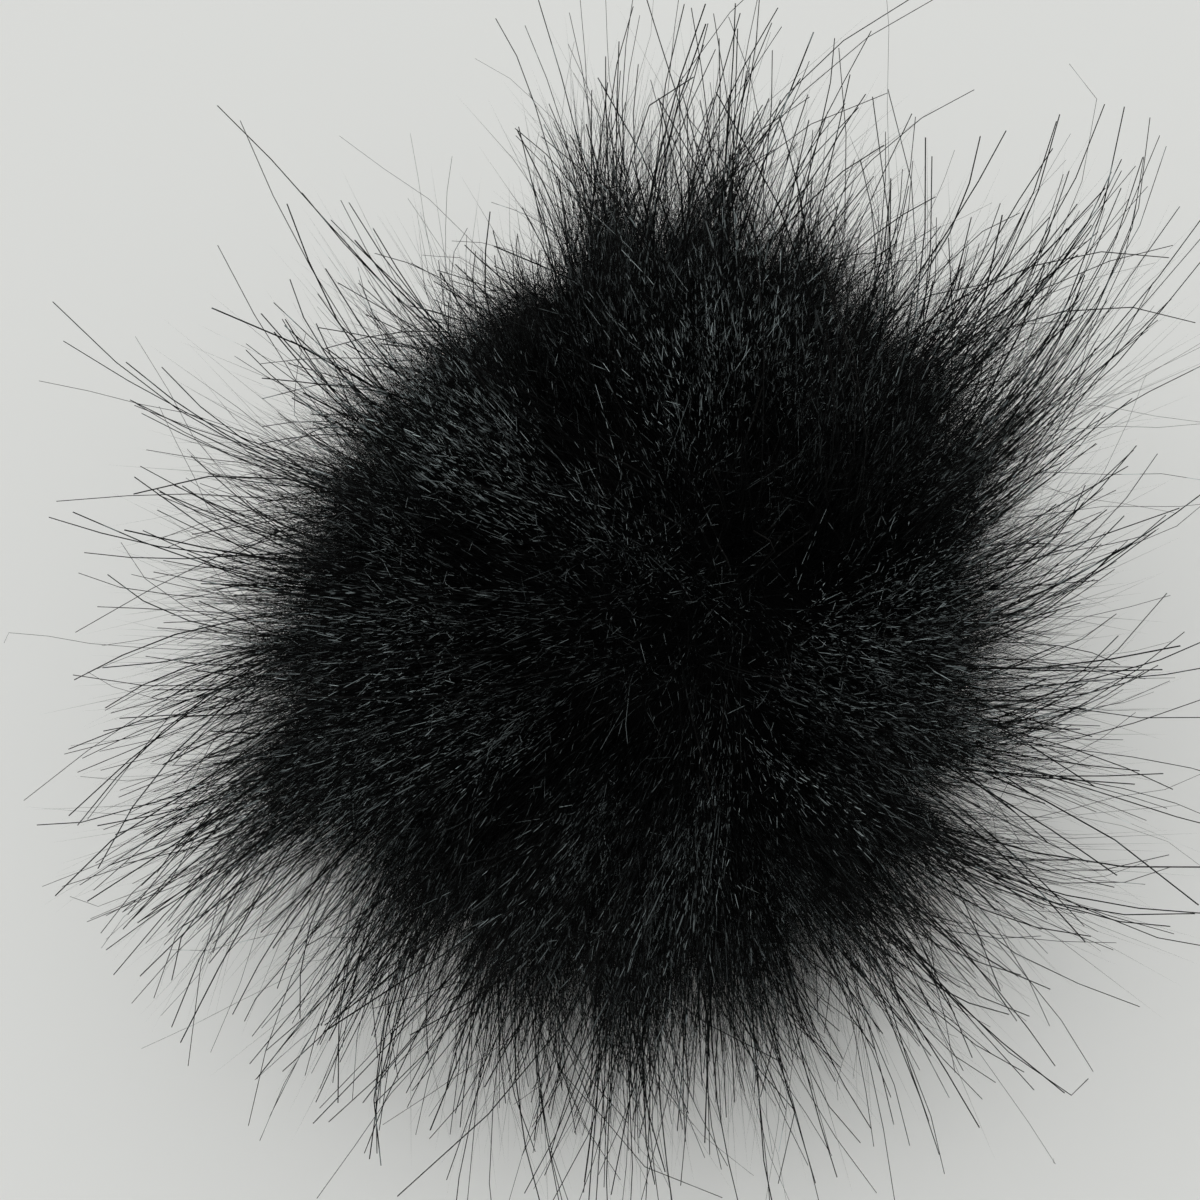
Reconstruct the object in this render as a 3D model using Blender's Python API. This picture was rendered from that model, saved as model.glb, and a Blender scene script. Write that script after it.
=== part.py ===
"""Long-pile fur pom pom lying on a surface.

A disc of fur fabric is gathered into a ball. The backing and the matted pile
close to it are one lumpy body, flat where it lies on the surface. The long
pile stands on that body as tapering locks, which lean together into tufts
and leave partings between them. Locks low on the ball level off and rest on
the surface. Metres, +Z up, with the origin in the middle of the flat spot.
"""

import math
import random
from collections import namedtuple

import bmesh
import bpy
from mathutils import Vector, noise

# Body: the gathered backing with the matted pile close to it.
BALL_HEIGHT = 0.042        # middle of the ball above the surface
BODY_RADIUS = 0.032
BODY_SAG = 0.016           # how far the underside bulges down before it is flattened
BODY_LUMP = 0.0018         # rise and fall of its surface
LUMP_SIZE = 0.024          # distance from one lump to the next
FOOT_LEVEL = 0.011         # what lies lower than this is pressed down to the surface
FOOT_DRAW = 0.82           # and drawn in to this share of its distance from the middle
ROOT_SCATTER = 0.05        # unevenness of where the roots lie, as a share of the body's radius
BODY_DETAIL = 3            # divisions of the ball into faces, each the root of a lock
BALL_CENTRE = Vector((0, 0, BALL_HEIGHT))
SEED = 10

# Locks: each is a tapering spike with three sides.
ROOT_GAP = 0.0006          # half of the valley between two roots
GATHER = 0.50              # how far a lock's tip leans towards the middle of its tuft
GATHER_CURVE = 1.5         # 1 leans it evenly along its length, more leans it towards the tip
SHORTEST_LOCK = 0.86       # share of the tuft's reach
TUFT_EDGE_LOSS = 0.08      # how much shorter locks are at the edge of a tuft
WAVE_ANGLE = math.radians(14)  # how far the pile drifts to one side by its tip
WAVE_CURVE = 2.0
WAVE_SIZE = 0.030          # distance on the body from one drift to the next
FLOOR_SOFTNESS = 0.002     # height over which a lock levels off above the surface
SPREAD_BELOW = 0.5         # locks that point lower than this, as the sine of their angle, spread outwards
SPREAD = 0.5               # share of the drop past that angle which they lose by their tips

# Tufts: where they point from the middle of the ball, in degrees, and how far their tips reach.
Tuft = namedtuple("Tuft", "azimuth elevation reach")
TUFTS = (
    # Round the rim, anticlockwise from the right.
    Tuft(azimuth=-2, elevation=9, reach=0.060),
    Tuft(azimuth=27, elevation=22, reach=0.068),
    Tuft(azimuth=54, elevation=23, reach=0.064),
    Tuft(azimuth=80, elevation=40, reach=0.064),
    Tuft(azimuth=100, elevation=41, reach=0.066),
    Tuft(azimuth=117, elevation=20, reach=0.065),
    Tuft(azimuth=136, elevation=6, reach=0.061),
    Tuft(azimuth=162, elevation=2, reach=0.067),
    Tuft(azimuth=-172, elevation=-7, reach=0.066),
    Tuft(azimuth=-153, elevation=-12, reach=0.070),
    Tuft(azimuth=-122, elevation=-22, reach=0.069),
    Tuft(azimuth=-92, elevation=-24, reach=0.067),
    Tuft(azimuth=-43, elevation=-20, reach=0.068),
    Tuft(azimuth=-20, elevation=-10, reach=0.064),
    # Over the top and down the front.
    Tuft(azimuth=-57, elevation=86, reach=0.061),
    Tuft(azimuth=-95, elevation=61, reach=0.061),
    Tuft(azimuth=-27, elevation=62, reach=0.060),
    Tuft(azimuth=-170, elevation=66, reach=0.058),
    Tuft(azimuth=-143, elevation=44, reach=0.059),
    Tuft(azimuth=-113, elevation=33, reach=0.060),
    Tuft(azimuth=-86, elevation=20, reach=0.060),
    Tuft(azimuth=-56, elevation=38, reach=0.060),
    Tuft(azimuth=-14, elevation=36, reach=0.060),
)
# The rest of the ball is filled with tufts spaced evenly between these.
FILL_COUNT = 70
FILL_REACH = 0.062
FILL_SPACING = math.radians(21)
FILL_LOWEST = math.radians(-36)
GOLDEN_ANGLE = math.pi * (3 - math.sqrt(5))
DRIFT_SHIFTS = (10, 20, 30)  # where the noise is read for each direction of the drift

# Rings along a lock: how far out, as a share of its length, and its width there, as a share of its root's.
Ring = namedtuple("Ring", "along width")
RINGS = (
    Ring(along=0.28, width=0.76),
    Ring(along=0.56, width=0.48),
    Ring(along=0.82, width=0.22),
)

FUR_COLOUR = (0.012, 0.012, 0.013, 1.0)
FUR_ROUGHNESS = 0.6


def clear_scene():
    for thing in list(bpy.data.objects):
        bpy.data.objects.remove(thing, do_unlink=True)


def pointing(azimuth, elevation):
    """The unit vector that points this way, both angles in radians."""
    level = math.cos(elevation)
    return Vector((level * math.cos(azimuth), level * math.sin(azimuth), math.sin(elevation)))


def lay_out_tufts():
    """Each tuft as its direction and reach: the named ones, then those that fill the rest of the ball."""
    tufts = [(pointing(math.radians(t.azimuth), math.radians(t.elevation)), t.reach) for t in TUFTS]
    for i in range(FILL_COUNT):
        elevation = math.asin(1 - (2 * i + 1) / FILL_COUNT)
        way = pointing(i * GOLDEN_ANGLE, elevation)
        crowded = any(way.angle(other) < FILL_SPACING for other, _ in tufts)
        if elevation > FILL_LOWEST and not crowded:
            tufts.append((way, FILL_REACH))
    return tufts


def drift(way):
    """A slowly changing sideways direction, which makes neighbouring locks bend together."""
    place = way * (BODY_RADIUS / WAVE_SIZE)
    return Vector([noise.noise(place + Vector((0, 0, shift))) for shift in DRIFT_SHIFTS])


def body_radius(way):
    """How far the body reaches in this direction from the middle of the ball, before it is flattened."""
    lump = BODY_LUMP * noise.noise(way * (BODY_RADIUS / LUMP_SIZE))
    sag = BODY_SAG * max(0.0, -way.z) ** 3
    return BODY_RADIUS + lump + sag


def body_point(way):
    """The point of the body's surface in this direction, pressed down to the surface below it if low."""
    point = BALL_CENTRE + way * body_radius(way)
    if point.z < FOOT_LEVEL:
        point = Vector((point.x * FOOT_DRAW, point.y * FOOT_DRAW, 0.0))
    return point


def level_off(height):
    """A height eased so that a lock bends and runs level above the surface instead of through it."""
    return FLOOR_SOFTNESS * math.log1p(math.exp(height / FLOOR_SOFTNESS))


def combed(way, tuft_way, reach, along):
    """The point that lies this share of the way along the pile that grows in this direction."""
    lean = way.lerp(tuft_way, GATHER * along ** GATHER_CURVE).normalized()
    lean = (lean + drift(lean) * (WAVE_ANGLE * along ** WAVE_CURVE)).normalized()
    lean.z += SPREAD * along * max(0.0, -lean.z - SPREAD_BELOW)
    root = body_radius(way)
    point = BALL_CENTRE + lean.normalized() * (root + (reach - root) * along)
    point.z = level_off(point.z)
    return point


def grow_lock(bm, face, tufts, chance):
    """Draws one root face out into a lock that ends in a point."""
    corners = [(v.co - BALL_CENTRE).normalized() for v in face.verts]
    middle = sum(corners, Vector()).normalized()
    tuft_way, tuft_reach = min(tufts, key=lambda tuft: middle.angle(tuft[0]))
    edge = min(1.0, middle.angle(tuft_way) / FILL_SPACING)
    reach = tuft_reach * chance.uniform(SHORTEST_LOCK, 1) * (1 - TUFT_EDGE_LOSS * edge)
    for ring in RINGS:
        face = bmesh.ops.extrude_discrete_faces(bm, faces=[face])["faces"][0]
        for vert, corner in zip(face.verts, corners):
            vert.co = combed(middle.lerp(corner, ring.width).normalized(), tuft_way, reach, ring.along)
    tip = bmesh.ops.poke(bm, faces=[face])["verts"][0]
    tip.co = combed(middle, tuft_way, reach, 1.0)


def make_fur_ball():
    """The body and all its locks, as one mesh."""
    chance = random.Random(SEED)
    bm = bmesh.new()
    bmesh.ops.create_icosphere(bm, subdivisions=BODY_DETAIL, radius=1.0)
    for vert in bm.verts:
        shift = Vector([chance.uniform(-ROOT_SCATTER, ROOT_SCATTER) for _ in range(3)])
        vert.co = body_point((vert.co + shift).normalized())
    foot = [face for face in bm.faces if all(v.co.z == 0.0 for v in face.verts)]
    foot_face = bmesh.ops.dissolve_faces(bm, faces=foot)["region"][0]
    roots = [face for face in bm.faces if face is not foot_face]
    bmesh.ops.inset_individual(bm, faces=roots, thickness=ROOT_GAP)
    tufts = lay_out_tufts()
    for face in roots:
        grow_lock(bm, face, tufts, chance)
    bmesh.ops.recalc_face_normals(bm, faces=bm.faces)
    mesh = bpy.data.meshes.new("fur_ball")
    bm.to_mesh(mesh)
    bm.free()
    return mesh


def fur_material():
    """Near-black fibre with a soft shine."""
    material = bpy.data.materials.new("black_fur")
    material.use_nodes = True
    shader = material.node_tree.nodes["Principled BSDF"]
    shader.inputs["Base Color"].default_value = FUR_COLOUR
    shader.inputs["Roughness"].default_value = FUR_ROUGHNESS
    shader.inputs["Metallic"].default_value = 0.0
    material.diffuse_color = FUR_COLOUR
    return material


def main():
    clear_scene()
    collection = bpy.data.collections.new("pom_pom")
    bpy.context.scene.collection.children.link(collection)
    ball = bpy.data.objects.new("fur_ball", make_fur_ball())
    ball.data.materials.append(fur_material())
    ball.data.shade_smooth()
    ball.data.set_sharp_from_angle(angle=math.radians(40))
    collection.objects.link(ball)


main()
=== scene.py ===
"""The looks of a long-pile black fur pom pom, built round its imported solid.

A dark mat of underfur covers the gathered backing, thick in the middle of each
tuft and thin along the partings. Fine underfur, longer awn hair, long stiff
guard hair and a few curled hairs grow out of it. Every hair follows the same
comb, which gathers the pile into tufts and wisps, lets it fall away from a
crown that faces up and forward, and lays it level on the surface where it
reaches down that far. Metres, +Z up.
"""

import math
from collections import namedtuple

import bmesh
import bpy
import numpy as np
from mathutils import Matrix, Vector, noise


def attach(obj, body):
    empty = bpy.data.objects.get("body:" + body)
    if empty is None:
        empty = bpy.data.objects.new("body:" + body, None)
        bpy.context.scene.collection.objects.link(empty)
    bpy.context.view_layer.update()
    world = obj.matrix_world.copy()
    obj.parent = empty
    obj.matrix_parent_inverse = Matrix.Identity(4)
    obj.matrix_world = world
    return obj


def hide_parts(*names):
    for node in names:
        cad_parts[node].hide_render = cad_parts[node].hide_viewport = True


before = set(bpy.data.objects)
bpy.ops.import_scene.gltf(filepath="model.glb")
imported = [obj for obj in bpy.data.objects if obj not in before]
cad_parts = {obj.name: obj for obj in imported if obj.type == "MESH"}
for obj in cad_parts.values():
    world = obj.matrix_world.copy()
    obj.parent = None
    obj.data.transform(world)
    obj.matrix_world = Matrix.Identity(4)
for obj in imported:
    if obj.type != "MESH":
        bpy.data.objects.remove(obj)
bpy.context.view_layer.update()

# Body of the ball, as in the solid.
BALL_HEIGHT = 0.042        # middle of the ball above the surface
BODY_RADIUS = 0.032
BODY_SAG = 0.016           # how far the underside bulges down
BODY_LUMP = 0.0018         # rise and fall of its surface
LUMP_SIZE = 0.024          # distance from one lump to the next
BALL_CENTRE = np.array([0.0, 0.0, BALL_HEIGHT])

# Comb: how the pile leans. A curve of 1 leans it evenly along its length, more than 1 mostly towards the
# tip and less than 1 mostly near the root.
GATHER_CURVE = 1.5
GATHER_SHARE = 0.45        # share of the reach by which most of the gathering is done
TURN_CURVE = 1.0
WAVE_ANGLE = math.radians(8)   # how far the pile drifts to one side by its tip
WAVE_CURVE = 2.0
WAVE_SIZE = 0.030          # distance on the body from one drift to the next
DRIFT_SHIFTS = (10, 20, 30)    # where the noise is read for each direction of the drift
TUFT_STRAY = math.radians(3)
TUFT_SEED = 6
CROWN_ELEVATION = math.radians(62)   # the pile falls away from a crown that faces up and forward
CROWN_FALL = 0.85          # how far it falls by its tip
FALL_CURVE = 0.8
FALL_WANDER = 0.55         # how much of the drift is mixed into the fall
SPREAD_BELOW = 0.5         # hair that points lower than this, as the sine of its angle, spreads outwards
SPREAD = 0.5
FLOOR_SOFTNESS = 0.002     # height over which hair levels off above the surface
FLOOR_SLIDE = 0.85         # share of the height lost to the surface that a hair slides outwards
STEEPEST = 0.05            # hair steeper than this, as the cosine of its angle, slides less far
PARTING_WARP = 0.10        # how far partings wander off a straight line between two tufts
PARTING_DETAIL = 2.2       # how quickly they wander
PARTING_SHIFTS = (40, 50, 60)
PARTING_WIDTH = math.radians(9)
PARTING_LOSS = 0.30        # share of its length that hair loses beside a parting
DEPTH_BLEND = math.radians(10)
WISP_COUNT = 1100
WISP_SCATTER = 0.03        # how far wisps lie off an even spacing, against a ball of radius 1
WISP_CURVE = 1.2
LOOSEST_WISP = 0.30        # how far its hair gathers towards a wisp's middle
TIGHTEST_WISP = 0.92
SHORTEST_WISP = 0.84       # how much of its full length a wisp has
LONGEST_WISP = 1.06
WISP_TILT = math.radians(4)
TILT_CURVE = 1.5
WISP_SEED = 5

# Mat of underfur round the backing, as a share of the dense pile's depth.
MAT_SHARE = 0.32
MAT_SINK = 0.0012          # the mat starts this far inside the ball's body, so that hair hides it
MAT_AT_PARTING = 0.35
MAT_THINS_BELOW = 0.35     # where the mat starts to thin, as the sine of the angle below level, over how much
MAT_THINS_OVER = 0.40      # more it goes on thinning, and the share of its thickness that it loses
MAT_THINNING = 0.6
MAT_DETAIL = 5             # divisions of the mat's ball into faces
MAT_LIFT = 0.0009          # how far above the surface it ends
MatFuzz = namedtuple("MatFuzz", "height detail shift")
MAT_FUZZ = (MatFuzz(height=0.0008, detail=9, shift=3), MatFuzz(height=0.0006, detail=26, shift=7))

# Tufts, laid out round the crown: where each grows, in degrees anticlockwise from the right and in degrees
# of height from the rim towards the crown, how far it turns and rises towards its tip, how far it reaches
# from the ball's middle, how deep its dense pile is, how tightly it gathers and how loosely its hair stands.
Tuft = namedtuple("Tuft", "around height turn rise reach depth gather loose")
TUFTS = (
    # Round the rim, anticlockwise from the right.
    Tuft(around=4, height=4, turn=19, rise=0, reach=0.056, depth=0.003, gather=0.45, loose=0.9),
    Tuft(around=20, height=4, turn=17, rise=-1, reach=0.074, depth=0.012, gather=0.80, loose=0.75),
    Tuft(around=33, height=3, turn=8, rise=-1, reach=0.071, depth=0.006, gather=0.75, loose=0.9),
    Tuft(around=46, height=5, turn=10, rise=-1, reach=0.054, depth=0.011, gather=0.35, loose=1.3),
    Tuft(around=65, height=5, turn=-3, rise=-1, reach=0.052, depth=0.012, gather=0.40, loose=1.3),
    Tuft(around=81, height=5, turn=3, rise=-1, reach=0.062, depth=0.010, gather=0.70, loose=1.0),
    Tuft(around=98, height=5, turn=2, rise=-1, reach=0.064, depth=0.008, gather=0.72, loose=0.9),
    Tuft(around=117, height=3, turn=4, rise=0, reach=0.042, depth=0.001, gather=0.10, loose=1.2),
    Tuft(around=132, height=3, turn=7, rise=-1, reach=0.046, depth=0.002, gather=0.20, loose=1.2),
    Tuft(around=148, height=4, turn=5, rise=-1, reach=0.047, depth=0.002, gather=0.40, loose=1.1),
    Tuft(around=165, height=4, turn=3, rise=-1, reach=0.061, depth=0.007, gather=0.60, loose=0.9),
    Tuft(around=178, height=3, turn=2, rise=0, reach=0.053, depth=0.002, gather=0.35, loose=0.9),
    Tuft(around=191, height=3, turn=6, rise=-1, reach=0.065, depth=0.015, gather=0.55, loose=0.8),
    Tuft(around=206, height=4, turn=6, rise=-2, reach=0.074, depth=0.018, gather=0.65, loose=0.7),
    Tuft(around=231, height=5, turn=3, rise=-2, reach=0.068, depth=0.007, gather=0.60, loose=0.8),
    Tuft(around=249, height=5, turn=2, rise=-2, reach=0.069, depth=0.016, gather=0.50, loose=0.8),
    Tuft(around=266, height=5, turn=0, rise=-2, reach=0.066, depth=0.014, gather=0.60, loose=0.8),
    Tuft(around=283, height=5, turn=-2, rise=-1, reach=0.067, depth=0.010, gather=0.50, loose=0.9),
    Tuft(around=300, height=4, turn=4, rise=-1, reach=0.067, depth=0.006, gather=0.50, loose=0.9),
    Tuft(around=314, height=4, turn=13, rise=-1, reach=0.073, depth=0.013, gather=0.60, loose=0.8),
    Tuft(around=330, height=4, turn=18, rise=-1, reach=0.056, depth=0.003, gather=0.45, loose=0.9),
    Tuft(around=347, height=4, turn=17, rise=0, reach=0.054, depth=0.0025, gather=0.45, loose=0.9),
    # The next ring up.
    Tuft(around=18, height=30, turn=16, rise=-3, reach=0.057, depth=0.006, gather=0.45, loose=0.9),
    Tuft(around=42, height=32, turn=6, rise=-2, reach=0.056, depth=0.006, gather=0.40, loose=0.9),
    Tuft(around=68, height=32, turn=2, rise=-2, reach=0.057, depth=0.009, gather=0.40, loose=1.0),
    Tuft(around=95, height=33, turn=0, rise=-3, reach=0.059, depth=0.008, gather=0.45, loose=0.9),
    Tuft(around=124, height=30, turn=4, rise=-2, reach=0.045, depth=0.001, gather=0.40, loose=1.0),
    Tuft(around=153, height=31, turn=5, rise=-3, reach=0.048, depth=0.002, gather=0.40, loose=1.0),
    Tuft(around=183, height=32, turn=4, rise=-3, reach=0.058, depth=0.010, gather=0.45, loose=0.9),
    Tuft(around=212, height=30, turn=3, rise=-3, reach=0.062, depth=0.014, gather=0.45, loose=0.8),
    Tuft(around=240, height=32, turn=0, rise=-3, reach=0.061, depth=0.014, gather=0.45, loose=0.8),
    Tuft(around=268, height=30, turn=-2, rise=-3, reach=0.061, depth=0.012, gather=0.60, loose=0.8),
    Tuft(around=308, height=30, turn=11, rise=-3, reach=0.061, depth=0.005, gather=0.55, loose=0.8),
    Tuft(around=335, height=30, turn=18, rise=-3, reach=0.058, depth=0.004, gather=0.45, loose=0.9),
    Tuft(around=357, height=30, turn=20, rise=-3, reach=0.056, depth=0.003, gather=0.45, loose=0.9),
    # Round the crown, and the crown itself.
    Tuft(around=20, height=60, turn=25, rise=-6, reach=0.058, depth=0.010, gather=0.35, loose=1.0),
    Tuft(around=85, height=60, turn=1, rise=-4, reach=0.058, depth=0.010, gather=0.35, loose=1.0),
    Tuft(around=150, height=60, turn=2, rise=-4, reach=0.056, depth=0.008, gather=0.35, loose=1.0),
    Tuft(around=205, height=60, turn=1, rise=-5, reach=0.058, depth=0.011, gather=0.35, loose=1.0),
    Tuft(around=262, height=60, turn=-2, rise=-5, reach=0.059, depth=0.011, gather=0.40, loose=0.9),
    Tuft(around=322, height=60, turn=23, rise=-6, reach=0.059, depth=0.010, gather=0.35, loose=1.0),
    Tuft(around=0, height=90, turn=0, rise=0, reach=0.058, depth=0.010, gather=0.15, loose=1.2),
    # Below the rim, behind and to the sides.
    Tuft(around=10, height=-24, turn=10, rise=0, reach=0.052, depth=0.003, gather=0.50, loose=0.9),
    Tuft(around=33, height=-24, turn=3, rise=0, reach=0.056, depth=0.004, gather=0.60, loose=0.9),
    Tuft(around=60, height=-24, turn=2, rise=0, reach=0.053, depth=0.011, gather=0.50, loose=1.1),
    Tuft(around=87, height=-24, turn=0, rise=0, reach=0.060, depth=0.008, gather=0.60, loose=1.0),
    Tuft(around=116, height=-24, turn=6, rise=0, reach=0.043, depth=0.001, gather=0.50, loose=1.0),
    Tuft(around=142, height=-24, turn=4, rise=0, reach=0.046, depth=0.002, gather=0.50, loose=1.0),
    Tuft(around=169, height=-24, turn=3, rise=0, reach=0.060, depth=0.008, gather=0.60, loose=0.9),
    Tuft(around=199, height=-24, turn=5, rise=0, reach=0.068, depth=0.016, gather=0.60, loose=0.8),
    Tuft(around=343, height=-24, turn=10, rise=0, reach=0.051, depth=0.004, gather=0.50, loose=0.9),
)

# The rest of the ball is filled with equal tufts, none nearer to another than the spacing.
FILL_COUNT = 70
FILL_TUFT = Tuft(around=0, height=0, turn=0, rise=0, reach=0.062, depth=0.0110, gather=0.36, loose=1.0)
FILL_SPACING = math.radians(21)
FILL_LOWEST = math.radians(-80)
GOLDEN_ANGLE = math.pi * (3 - math.sqrt(5))

# Hair of one kind: how many, in how many pieces, the stretches between a hair's joints, its thickness and
# the share of it left at the tip, its shortest and longest reach (1 is the dense pile's depth, 2 the tuft's
# reach), how many are short, how far it keeps to the long tufts, how far it strays and wanders, the share
# with a kink, whether the tip is cut blunt, how many painted glints lie along a hair, how strongly the
# painted glints are weakened on most hairs and how bright they are on the brightest.
Hair = namedtuple(
    "Hair", "name count pieces segments thickness tip_share shortest longest short_bias tufted "
    "stray wander kinked blunt flecks dulled gleam seed")
HAIRS = (
    Hair(name="underfur", count=35000, pieces=2, segments=2, thickness=0.000070, tip_share=0.6,
         shortest=0.55, longest=1.30, short_bias=1.0, tufted=0.1, stray=math.radians(7),
         wander=math.radians(9), kinked=0.0, blunt=False, flecks=7, dulled=4.0, gleam=1.0, seed=11),
    Hair(name="awn_hair", count=32000, pieces=3, segments=3, thickness=0.000068, tip_share=0.6,
         shortest=0.80, longest=1.90, short_bias=1.4, tufted=0.8, stray=math.radians(4),
         wander=math.radians(7), kinked=0.0, blunt=False, flecks=13, dulled=3.3, gleam=1.0, seed=12),
    Hair(name="guard_hair", count=2200, pieces=1, segments=5, thickness=0.00017, tip_share=0.7,
         shortest=1.30, longest=2.50, short_bias=1.15, tufted=1.2, stray=math.radians(3.5),
         wander=math.radians(1.8), kinked=0.12, blunt=True, flecks=13, dulled=3.0, gleam=0.35, seed=13),
    Hair(name="curled_hair", count=800, pieces=1, segments=8, thickness=0.000085, tip_share=0.6,
         shortest=1.1, longest=1.95, short_bias=1.1, tufted=0.4, stray=math.radians(9),
         wander=math.radians(13), kinked=0.20, blunt=True, flecks=12, dulled=3.2, gleam=0.7, seed=14),
)
HAIRS_AT_ONCE = 4000       # how many are sorted into wisps together
SPARE_HAIR = 1.7           # how many places are tried for each hair that grows
SHORT_TUFT = 0.046         # reach of a tuft that carries the least long hair
LONG_TUFT = 0.070          # reach of one that carries its fill
SCARCEST = 0.30            # how likely hair still is in the shortest tufts and on the partings
SHORTEST_PILE = 0.0032     # even the shortest pile is this deep
LEAST_ABOVE_PILE = 0.004   # the long hair stands at least this far above it
SHORTEST_HAIR = 0.0034     # from the root inside the mat to the tip
ROOT_DEPTH = 0.0008        # how deep a hair starts inside the mat
FARTHEST = np.array([0.0706, 0.0708, 0.0694])   # all hair keeps inside an oval of these half widths
HAIR_SCATTER = 0.02        # how far hairs lie off an even spacing, against a ball of radius 1
STRAY_CURVE = 1.3
LEAST_LIFT = 0.0001        # how high above the surface a hair that reaches it lies
MOST_LIFT = 0.0008
KINK_ANGLE = math.radians(15)
THICKNESS_SEED = 100       # added to the seed of the kind
THINNEST = 0.60            # as a share of the thickness named for the kind
THICKEST = 1.20
GLINT_LEVELS = 64                 # strengths of painted glint, side by side on the hair's map
STRIP_PLACES = (0.15, 0.5, 0.85)    # where a tube's three sides lie across their strip
GLINT_STEP = 3.7           # how differently the painted glints lie along hairs of neighbouring strengths
# Painted glints: short light marks painted into the hair's colour where a crimp would catch the light, in
# this colour.
GLINT_COLOUR = (0.76, 0.88, 0.90, 1)
GLINT_FROM = 0.575         # noise value at which a painted glint starts, and at which it is brightest
GLINT_TO = 0.645
# Near-black fibre colour from root to tip; the lighter, warmer tip is painted light showing through the thin
# tip.
ROOT_COLOUR = (0.0005, 0.0005, 0.0005, 1)
MIDDLE_COLOUR = (0.0007, 0.0010, 0.0011, 1)
MIDDLE_AT = 0.6            # share of the way from root to tip
TIP_COLOUR = (0.0032, 0.003, 0.0028, 1)
HAIR_SPECULAR = 0.05
DULL_ROUGHNESS = 0.60
GLOSSY_ROUGHNESS = 0.24
MAT_DARK = (0.0006, 0.0006, 0.0006, 1)
MAT_LIGHT = (0.003, 0.003, 0.0032, 1)
MAT_FUZZ_SCALE = 900       # grain of the matted fibre in its colour and bump
MAT_FUZZ_DETAIL = 3
MAT_BUMP = 0.0005
WISP_SHEEN = 0.72          # share of a hair's painted sheen that it takes from its wisp
PATCH_SHEEN = 0.95         # how strong the wisps' painted sheen is on the whole, how much that differs between patches of the coat, and how small the patches are
PATCH_CONTRAST = 0.65      # coat, and how small the patches are
PATCH_DETAIL = 3.2
PATCH_SHIFT = 70

# View: the pom pom seen steeply from in front.
VIEW_ELEVATION = math.radians(62)
VIEW_DISTANCE = 0.174
VIEW_LENS = 47.5
SENSOR_WIDTH = 36.0
NEAREST_SEEN = 0.01
VIEW_AIM = Vector((-0.006, -0.001, BALL_HEIGHT - 0.0005))
FLOOR_SIZE = 3.0
FLOOR_COLOUR = (0.78, 0.78, 0.77, 1)
FLOOR_ROUGHNESS = 0.7

# Light: how bright the even surround is, and the window's glow, its direction and how wide it spreads.
SURROUND_LIGHT = 0.69
WINDOW_LIGHT = 1.45
WINDOW_WAY = (-0.38, -0.20, 0.90)
WINDOW_SPREAD = math.radians(50)
LIGHT_COLOUR = (0.99, 1.0, 0.985, 1)
BOUNCES = 2                # near-black fur sends almost nothing on
GLOSSY_BOUNCES = 1


def pointing(azimuth, elevation):
    """Unit vectors that point this way, both angles in radians."""
    level = np.cos(elevation)
    return np.stack([level * np.cos(azimuth), level * np.sin(azimuth), np.sin(elevation)], axis=-1)


def unit(rows):
    """The same directions, each with a length of 1."""
    return rows / np.linalg.norm(rows, axis=-1, keepdims=True)


def eased(share):
    """From 0 to 1 with a soft start and a soft end."""
    share = np.clip(share, 0.0, 1.0)
    return share * share * (3 - 2 * share)


# The crown's own directions: out of it, to the right and to the rear.
CROWN_WAY = pointing(math.radians(-90), CROWN_ELEVATION)
RIGHT_WAY = np.array([1.0, 0.0, 0.0])
REAR_WAY = np.cross(CROWN_WAY, RIGHT_WAY)


def from_crown(around, height):
    """The direction at this place round the crown, in degrees."""
    right, rear, out = pointing(math.radians(around), math.radians(height))
    return right * RIGHT_WAY + rear * REAR_WAY + out * CROWN_WAY


def evenly_round(count):
    """Directions spread evenly over a ball, from the top down."""
    steps = np.arange(count)
    return pointing(steps * GOLDEN_ANGLE, np.arcsin(1 - (2 * steps + 1) / count))


def scattered(chance, rows, angle):
    """These directions, each moved off by chance."""
    return unit(rows + chance.normal(0.0, angle, rows.shape))


def smooth_noise(rows, shift):
    """Soft lumps from about -1 to 1, read at these places; each shift reads other lumps."""
    return np.array([noise.noise(Vector(row) + Vector((0, 0, shift))) for row in rows])


def drift(rows, shifts=DRIFT_SHIFTS):
    """A slowly changing sideways direction, which makes neighbouring hairs bend together."""
    places = rows * (BODY_RADIUS / WAVE_SIZE)
    return np.stack([smooth_noise(places, shift) for shift in shifts], axis=-1)


def lay_out_tufts():
    """Every tuft, where it grows and where its tip points.

    The named ones come first, and then those that fill the rest of the ball.
    """
    rows = list(TUFTS)
    roots = [from_crown(t.around, t.height) for t in TUFTS]
    tips = [from_crown(t.around + t.turn, t.height + t.rise) for t in TUFTS]
    for way in evenly_round(FILL_COUNT):
        crowded = any(way @ other > math.cos(FILL_SPACING) for other in roots)
        if way[2] > math.sin(FILL_LOWEST) and not crowded:
            rows.append(FILL_TUFT)
            roots.append(way)
            tips.append(way)
    chance = np.random.default_rng(TUFT_SEED)
    return rows, np.array(roots), scattered(chance, np.array(tips), TUFT_STRAY)


TUFT_ROWS, TUFT_ROOTS, TUFT_TIPS = lay_out_tufts()
TUFT_REACH = np.array([t.reach for t in TUFT_ROWS])
TUFT_DEPTH = np.array([t.depth for t in TUFT_ROWS])
TUFT_GATHER = np.array([t.gather for t in TUFT_ROWS])
TUFT_LOOSE = np.array([t.loose for t in TUFT_ROWS])


def body_radius(ways):
    """How far out the gathered backing reaches."""
    lump = BODY_LUMP * smooth_noise(ways * (BODY_RADIUS / LUMP_SIZE), 0)
    return BODY_RADIUS + lump + BODY_SAG * np.maximum(0.0, -ways[:, 2]) ** 3


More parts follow.
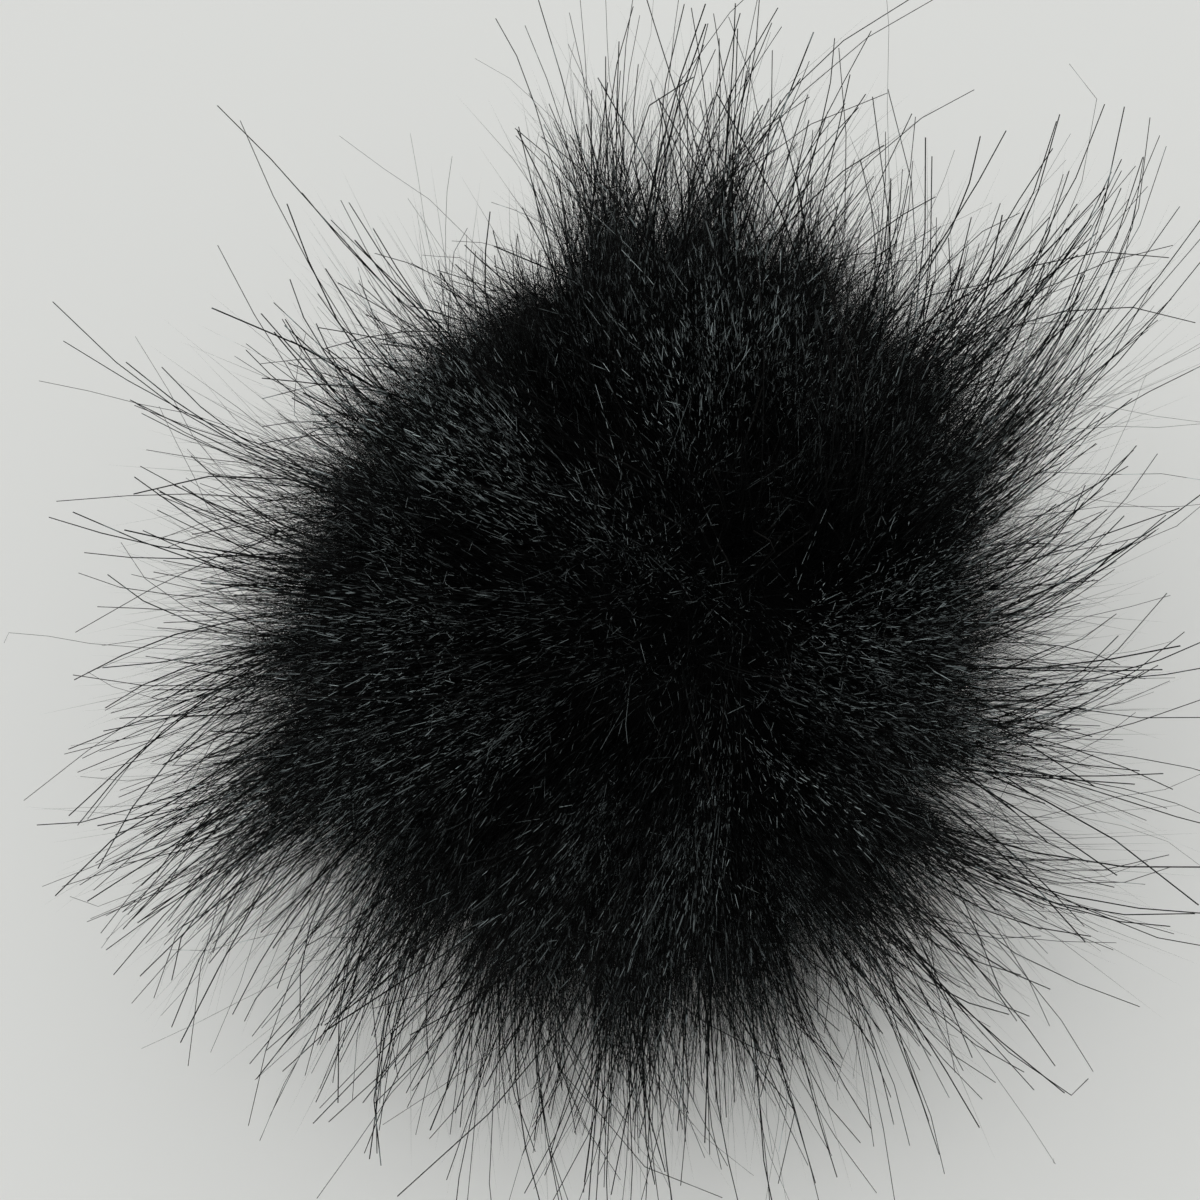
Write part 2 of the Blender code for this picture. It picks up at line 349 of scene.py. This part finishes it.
def sort_into_tufts(ways):
    """Each direction's tuft, how far inside it lies and how deep the pile is there.

    It lies 0 inside on a parting and 1 well away from one.
    """
    warped = unit(ways + PARTING_WARP * drift(ways * PARTING_DETAIL, PARTING_SHIFTS))
    angle = np.arccos(np.clip(warped @ TUFT_ROOTS.T, -1.0, 1.0))
    tuft = np.argmin(angle, axis=1)
    nearest = np.partition(angle, 1, axis=1)
    inside = eased((nearest[:, 1] - nearest[:, 0]) / PARTING_WIDTH)
    weight = np.exp(-((angle - nearest[:, :1]) / DEPTH_BLEND) ** 2)
    return tuft, inside, weight @ TUFT_DEPTH / np.sum(weight, axis=1)


def mat_radius(ways, inside, depth):
    """How far out the matted underfur reaches."""
    thick = MAT_SHARE * depth * (MAT_AT_PARTING + (1 - MAT_AT_PARTING) * inside)
    low = eased((-ways[:, 2] - MAT_THINS_BELOW) / MAT_THINS_OVER)
    return body_radius(ways) - MAT_SINK + thick * (1 - MAT_THINNING * low)


def combed(ways, tuft, share, bend):
    """Where hair rooted at these directions points, this share of the way out to its tuft's reach."""
    share = np.maximum(share, 0.0)
    gather = TUFT_GATHER[tuft] * (1 - np.exp(-(share / GATHER_SHARE) ** GATHER_CURVE))
    lean = unit(ways + (TUFT_ROOTS[tuft] - ways) * gather[:, None])
    lean = lean + (TUFT_TIPS[tuft] - TUFT_ROOTS[tuft]) * (share ** TURN_CURVE)[:, None]
    lean = lean + bend * (WAVE_ANGLE * share ** WAVE_CURVE)[:, None]
    facing = np.maximum(ways @ CROWN_WAY, 0.0)[:, None]
    fall = (facing * ways - CROWN_WAY + FALL_WANDER * bend) * facing
    lean = lean + fall * (CROWN_FALL * share ** FALL_CURVE)[:, None]
    return unit(lean)


def spread_low(lean, share):
    """Hair that would point steeply down spreads outwards instead."""
    lean[:, 2] += SPREAD * share * np.maximum(0.0, -lean[:, 2] - SPREAD_BELOW)
    return unit(lean)


def settled(points, ways, lift):
    """Bends what would pass through the surface so that it slides outwards along it instead."""
    height = points[..., 2]
    kept = FLOOR_SOFTNESS * np.logaddexp(0.0, height / FLOOR_SOFTNESS)
    outwards = ways[..., :2] / np.maximum(np.linalg.norm(ways[..., :2], axis=-1, keepdims=True), STEEPEST)
    slide = (kept - height)[..., None] * FLOOR_SLIDE * outwards
    return np.concatenate([points[..., :2] + slide, (kept + lift)[..., None]], axis=-1)


def make_wisps():
    """Every wisp's direction, and how it gathers, tilts, how long it is and how strong its painted sheen is.
    """
    chance = np.random.default_rng(WISP_SEED)
    ways = scattered(chance, evenly_round(WISP_COUNT), WISP_SCATTER)
    gather = chance.uniform(LOOSEST_WISP, TIGHTEST_WISP, WISP_COUNT)
    tilt = chance.normal(0.0, WISP_TILT, (WISP_COUNT, 3))
    length = chance.uniform(SHORTEST_WISP, LONGEST_WISP, WISP_COUNT)
    # Painted sheen: wisps carry stronger or weaker painted glints, and broad patches of the coat painted
    # lighter or darker.
    patch = PATCH_SHEEN + PATCH_CONTRAST * smooth_noise(ways * PATCH_DETAIL, PATCH_SHIFT)
    sheen = np.clip(chance.random(WISP_COUNT) * patch, 0.0, 1.0)
    return ways, gather, tilt, length, sheen


def thinned(chance, kind, ways):
    """As many of these directions as there are hairs: more of them in the middle of the long tufts."""
    tuft, inside, _ = sort_into_tufts(ways)
    long = np.clip((TUFT_REACH[tuft] - SHORT_TUFT) / (LONG_TUFT - SHORT_TUFT), SCARCEST, 1.0)
    weight = (long * (SCARCEST + inside)) ** kind.tufted
    order = np.argsort(chance.random(len(ways)) / weight, kind="stable")
    return ways[np.sort(order[:kind.count])]


def bends(chance, kind):
    """How far each joint of each hair is pushed aside, for each unit of the hair's own step."""
    turns = chance.normal(0.0, kind.wander, (kind.count, kind.segments, 3))
    kinked = np.flatnonzero(chance.random(kind.count) < kind.kinked)
    joint = chance.integers(kind.segments // 2, kind.segments, len(kinked))
    turns[kinked, joint] += chance.normal(0.0, KINK_ANGLE, (len(kinked), 3))
    offset = np.cumsum(np.cumsum(turns, axis=1), axis=1)
    return np.concatenate([np.zeros((kind.count, 1, 3)), offset], axis=1)


def nearest_wisp(ways, wisp_ways):
    """The wisp that each hair belongs to."""
    parts = np.array_split(ways, len(ways) // HAIRS_AT_ONCE + 1)
    return np.concatenate([np.argmax(some @ wisp_ways.T, axis=1) for some in parts])


def comb(kind):
    """The centre line of every hair of one kind, as hairs by points, its root direction and the strength of
    its painted sheen.
    """
    chance = np.random.default_rng(kind.seed)
    wisp_ways, wisp_gather, wisp_tilt, wisp_length, wisp_sheen = make_wisps()
    ways = scattered(chance, evenly_round(int(kind.count * SPARE_HAIR)), HAIR_SCATTER)
    ways = thinned(chance, kind, ways)
    tuft, inside, depth = sort_into_tufts(ways)
    wisp = nearest_wisp(ways, wisp_ways)
    body = body_radius(ways)
    root = mat_radius(ways, inside, depth) - ROOT_DEPTH
    depth = np.hypot(depth, SHORTEST_PILE)
    full = np.maximum(TUFT_REACH[tuft] - body, depth + LEAST_ABOVE_PILE)
    stretch = kind.shortest + (kind.longest - kind.shortest) * chance.random(kind.count) ** kind.short_bias
    pile = np.where(stretch < 1, stretch * depth, depth + (stretch - 1) * (full - depth))
    pile = pile * wisp_length[wisp] * (1 - PARTING_LOSS * (1 - inside))
    length = np.clip(body + pile - root, SHORTEST_HAIR, FARTHEST.max() - root)
    stray = chance.normal(0.0, kind.stray, (kind.count, 3)) * TUFT_LOOSE[tuft][:, None]
    bend = drift(ways)
    lift = chance.uniform(LEAST_LIFT, MOST_LIFT, kind.count)
    aside = bends(chance, kind) * (length / kind.segments)[:, None, None]

    lines = []
    for joint, along in enumerate(np.linspace(0.0, 1.0, kind.segments + 1)):
        share = np.maximum(0.0, (root + length * along - body) / full)
        near_wisp = (wisp_gather[wisp] * share ** WISP_CURVE)[:, None]
        lean = unit(ways + (wisp_ways[wisp] - ways) * near_wisp)
        lean = combed(lean, tuft, share, bend)
        lean = lean + wisp_tilt[wisp] * (share ** TILT_CURVE)[:, None] + stray * along ** STRAY_CURVE
        lean = spread_low(unit(lean), share)
        outward = lean * (root + length * along)[:, None] + aside[:, joint]
        reached = np.linalg.norm(outward / FARTHEST, axis=1, keepdims=True)
        points = BALL_CENTRE + outward / np.maximum(1.0, reached)
        lines.append(settled(points, lean, lift))
    # Strength of the hair's painted glints, mostly from its wisp's painted sheen and partly at random.
    sheen = WISP_SHEEN * wisp_sheen[wisp] + (1 - WISP_SHEEN) * chance.random(kind.count)
    return np.stack(lines, axis=1), ways, sheen


def hair_faces(rings, blunt):
    """One hair's faces, as corners counted round its rings of three."""
    sides = [(3 * k + a, 3 * k + b, 3 * k + 3 + b, 3 * k + 3 + a)
             for k in range(rings - 1) for a, b in ((0, 1), (1, 2), (2, 0))]
    last = 3 * (rings - 1)
    if blunt:
        end = [(last, last + 1, last + 2)]
    else:
        end = [(last + a, last + b, last + 3) for a, b in ((0, 1), (1, 2), (2, 0))]
    return [(2, 1, 0)] + sides + end


def hair_mesh(name, lines, ways, sheen, kind, chance):
    """Every hair as a closed three-sided tapering tube, joined into one mesh with the hair's map."""
    count, points = lines.shape[:2]
    rings = points if kind.blunt else points - 1
    along = np.linspace(0.0, 1.0, points)
    tangent = unit(np.gradient(lines, axis=1))
    across = chance.normal(0.0, 1.0, (count, 3))
    across = unit(np.cross(across, ways))[:, None, :]
    first = unit(across - np.sum(across * tangent, axis=2, keepdims=True) * tangent)
    second = np.cross(tangent, first)
    radius = kind.thickness / 2 * (1 + (kind.tip_share - 1) * along)
    thick = chance.uniform(THINNEST, THICKEST, count)
    corners = []
    for turn in (0.0, 2 * math.pi / 3, 4 * math.pi / 3):
        offset = first * math.cos(turn) + second * math.sin(turn)
        corners.append(lines + offset * (radius[None, :] * thick[:, None])[..., None])
    tube = np.stack(corners, axis=2)[:, :rings].reshape(count, rings * 3, 3)
    strip_u = np.tile(STRIP_PLACES, rings)
    strip_v = np.repeat(along[:rings], 3)
    if not kind.blunt:
        tube = np.concatenate([tube, lines[:, -1:]], axis=1)
        strip_u = np.append(strip_u, STRIP_PLACES[1])
        strip_v = np.append(strip_v, 1.0)

    faces = hair_faces(rings, kind.blunt)
    loops = np.concatenate([np.array(face) for face in faces])
    sizes = np.array([len(face) for face in faces])
    per_hair = tube.shape[1]
    all_loops = (loops[None, :] + per_hair * np.arange(count)[:, None]).ravel()
    all_sizes = np.tile(sizes, count)
    mesh = bpy.data.meshes.new(name)
    mesh.vertices.add(count * per_hair)
    mesh.vertices.foreach_set("co", tube.astype(np.float32).ravel())
    mesh.loops.add(len(all_loops))
    mesh.loops.foreach_set("vertex_index", all_loops.astype(np.int32))
    mesh.polygons.add(len(all_sizes))
    mesh.polygons.foreach_set("loop_start", (np.cumsum(all_sizes) - all_sizes).astype(np.int32))
    mesh.polygons.foreach_set("use_smooth", np.ones(len(all_sizes), dtype=bool))
    mesh.update(calc_edges=True)

    # Each hair's strength of painted glint picks its strip of the map.
    glint_level = np.minimum((sheen * GLINT_LEVELS).astype(int), GLINT_LEVELS - 1)
    u = (glint_level[:, None] + strip_u[loops][None, :]) / GLINT_LEVELS
    v = np.broadcast_to(strip_v[loops][None, :], u.shape)
    layer = mesh.uv_layers.new(name="OFBake")
    layer.data.foreach_set("uv", np.stack([u, v], axis=-1).astype(np.float32).ravel())
    return mesh


def dress(piece):
    """Links a finished piece, hangs it from the root body and hides the solid ball in its place."""
    bpy.context.scene.collection.objects.link(piece)
    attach(piece, "root")
    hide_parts("fur_ball")
    return piece


def grow(kind, material):
    """All the hair of one kind, in its pieces from the top of the ball down."""
    lines, ways, sheen = comb(kind)
    chance = np.random.default_rng(kind.seed + THICKNESS_SEED)
    order = np.argsort(-ways[:, 2], kind="stable")
    for number, part in enumerate(np.array_split(order, kind.pieces), 1):
        mesh = hair_mesh(f"{kind.name}_{number}", lines[part], ways[part], sheen[part], kind, chance)
        mesh.materials.append(material)
        dress(bpy.data.objects.new(f"{kind.name}_{number}", mesh))


def make_mat(material):
    """The matted underfur on the gathered backing, dark between the hairs."""
    bm = bmesh.new()
    bmesh.ops.create_icosphere(bm, subdivisions=MAT_DETAIL, radius=1.0)
    ways = unit(np.array([v.co[:] for v in bm.verts]))
    tuft, inside, depth = sort_into_tufts(ways)
    body = body_radius(ways)
    fuzz = sum(f.height * smooth_noise(ways * f.detail, f.shift) for f in MAT_FUZZ)
    radius = mat_radius(ways, inside, depth) + fuzz
    share = (radius - body) / (TUFT_REACH[tuft] - body)
    lean = spread_low(combed(ways, tuft, share, drift(ways)), share)
    points = settled(BALL_CENTRE + lean * radius[:, None], lean, MAT_LIFT)
    for vert, point in zip(bm.verts, points):
        vert.co = point
    mesh = bpy.data.meshes.new("undercoat")
    bm.to_mesh(mesh)
    bm.free()
    mesh.shade_smooth()
    mesh.materials.append(material)
    dress(bpy.data.objects.new("undercoat", mesh))


def link(nodes, a, out, b, into):
    """Joins one node's output to another's input."""
    nodes.id_data.links.new(a.outputs[out], b.inputs[into])


def value_node(nodes, operation, *inputs):
    """A maths node fed by numbers or by (node, output) pairs."""
    node = nodes.new("ShaderNodeMath")
    node.operation = operation
    for place, given in enumerate(inputs):
        if isinstance(given, tuple):
            link(nodes, given[0], given[1], node, place)
        else:
            node.inputs[place].default_value = given
    return node, "Value"


def hair_material(kind):
    """Near-black fibre with painted glints: light marks painted into the colour along each hair, glossier
    there too, each hair with its own strength of painted glint.
    """
    material = bpy.data.materials.new(f"black_{kind.name}")
    material.use_nodes = True
    nodes = material.node_tree.nodes
    shader = nodes["Principled BSDF"]
    shader.inputs["Specular IOR Level"].default_value = HAIR_SPECULAR
    chart = nodes.new("ShaderNodeUVMap")
    chart.uv_map = "OFBake"
    split = nodes.new("ShaderNodeSeparateXYZ")
    link(nodes, chart, "UV", split, "Vector")
    # Strength of painted glint, read from the hair's strip of the map.
    strip = value_node(nodes, "FLOOR", value_node(nodes, "MULTIPLY", (split, "X"), GLINT_LEVELS))
    glint_level = value_node(nodes, "POWER", value_node(nodes, "DIVIDE", strip, GLINT_LEVELS), kind.dulled)
    glint_level = value_node(nodes, "MULTIPLY", glint_level, kind.gleam)

    place = nodes.new("ShaderNodeCombineXYZ")
    link(nodes, *value_node(nodes, "MULTIPLY", strip, GLINT_STEP), place, "X")
    link(nodes, *value_node(nodes, "MULTIPLY", (split, "Y"), kind.flecks), place, "Y")
    # Noise along the hair that places the painted glints.
    glint_noise = nodes.new("ShaderNodeTexNoise")
    glint_noise.noise_dimensions = "2D"
    glint_noise.inputs["Scale"].default_value = 1.0
    glint_noise.inputs["Detail"].default_value = 1.0
    link(nodes, place, "Vector", glint_noise, "Vector")
    glint = nodes.new("ShaderNodeMapRange")
    glint.inputs["From Min"].default_value = GLINT_FROM
    glint.inputs["From Max"].default_value = GLINT_TO
    link(nodes, glint_noise, "Fac", glint, "Value")

    along = nodes.new("ShaderNodeValToRGB")
    link(nodes, split, "Y", along, "Fac")
    ramp = along.color_ramp
    ramp.elements[0].color = ROOT_COLOUR
    ramp.elements[1].color = TIP_COLOUR
    middle = ramp.elements.new(MIDDLE_AT)
    middle.color = MIDDLE_COLOUR
    # Painted glint: the colour is mixed towards a light grey where the noise places a glint.
    bright = nodes.new("ShaderNodeMix")
    bright.data_type = "RGBA"
    bright.inputs["B"].default_value = GLINT_COLOUR
    link(nodes, *value_node(nodes, "MULTIPLY", (glint, "Result"), glint_level), bright, "Factor")
    link(nodes, along, "Color", bright, "A")
    link(nodes, bright, "Result", shader, "Base Color")
    gloss = nodes.new("ShaderNodeMapRange")
    gloss.inputs["To Min"].default_value = DULL_ROUGHNESS
    gloss.inputs["To Max"].default_value = GLOSSY_ROUGHNESS
    link(nodes, glint, "Result", gloss, "Value")
    link(nodes, gloss, "Result", shader, "Roughness")
    return material


def mat_material():
    """Matted black fur: nearly no light comes back from it."""
    material = bpy.data.materials.new("black_mat")
    material.use_nodes = True
    nodes = material.node_tree.nodes
    shader = nodes["Principled BSDF"]
    shader.inputs["Specular IOR Level"].default_value = 0.0
    shader.inputs["Roughness"].default_value = 1.0
    place = nodes.new("ShaderNodeTexCoord")
    fuzz = nodes.new("ShaderNodeTexNoise")
    fuzz.inputs["Scale"].default_value = MAT_FUZZ_SCALE
    fuzz.inputs["Detail"].default_value = MAT_FUZZ_DETAIL
    link(nodes, place, "Object", fuzz, "Vector")
    ramp = nodes.new("ShaderNodeValToRGB")
    ramp.color_ramp.elements[0].color = MAT_DARK
    ramp.color_ramp.elements[1].color = MAT_LIGHT
    link(nodes, fuzz, "Fac", ramp, "Fac")
    link(nodes, ramp, "Color", shader, "Base Color")
    bump = nodes.new("ShaderNodeBump")
    bump.inputs["Distance"].default_value = MAT_BUMP
    link(nodes, fuzz, "Fac", bump, "Height")
    link(nodes, bump, "Normal", shader, "Normal")
    return material


def make_camera():
    """Steeply from in front, close enough that the hair fills the picture."""
    data = bpy.data.cameras.new("camera")
    data.lens = VIEW_LENS
    data.sensor_width = SENSOR_WIDTH
    data.clip_start = NEAREST_SEEN
    camera = bpy.data.objects.new("camera", data)
    back = Vector((0, -math.cos(VIEW_ELEVATION), math.sin(VIEW_ELEVATION)))
    camera.location = VIEW_AIM + back * VIEW_DISTANCE
    camera.rotation_euler = (-back).to_track_quat("-Z", "Y").to_euler()
    bpy.context.scene.collection.objects.link(camera)
    bpy.context.scene.camera = camera


def make_floor():
    """The pale surface that the pom pom lies on, for the picture only."""
    bm = bmesh.new()
    bmesh.ops.create_grid(bm, x_segments=1, y_segments=1, size=FLOOR_SIZE / 2)
    mesh = bpy.data.meshes.new("floor")
    bm.to_mesh(mesh)
    bm.free()
    floor = bpy.data.objects.new("floor", mesh)
    material = bpy.data.materials.new("pale_floor")
    material.use_nodes = True
    shader = material.node_tree.nodes["Principled BSDF"]
    shader.inputs["Base Color"].default_value = FLOOR_COLOUR
    shader.inputs["Roughness"].default_value = FLOOR_ROUGHNESS
    mesh.materials.append(material)
    bpy.context.scene.collection.objects.link(floor)


def light_scene():
    """An even pale surround with a broad soft glow high in front on the left, as from a large window."""
    world = bpy.data.worlds.new("surround")
    world.use_nodes = True
    nodes = world.node_tree.nodes
    around = nodes.new("ShaderNodeTexCoord")
    toward = nodes.new("ShaderNodeVectorMath")
    toward.operation = "DOT_PRODUCT"
    toward.inputs[1].default_value = Vector(WINDOW_WAY).normalized()
    link(nodes, around, "Generated", toward, "Vector")
    glow = nodes.new("ShaderNodeMapRange")
    glow.interpolation_type = "SMOOTHSTEP"
    glow.inputs["From Min"].default_value = math.cos(WINDOW_SPREAD)
    glow.inputs["To Min"].default_value = SURROUND_LIGHT
    glow.inputs["To Max"].default_value = WINDOW_LIGHT
    link(nodes, toward, "Value", glow, "Value")
    background = nodes["Background"]
    background.inputs["Color"].default_value = LIGHT_COLOUR
    link(nodes, glow, "Result", background, "Strength")
    world.cycles.sampling_method = "NONE"
    bpy.context.scene.world = world
    bpy.context.scene.view_settings.view_transform = "Standard"
    bpy.context.scene.cycles.max_bounces = BOUNCES
    bpy.context.scene.cycles.glossy_bounces = GLOSSY_BOUNCES


make_camera()
make_floor()
light_scene()
make_mat(mat_material())
for kind in HAIRS:
    grow(kind, hair_material(kind))
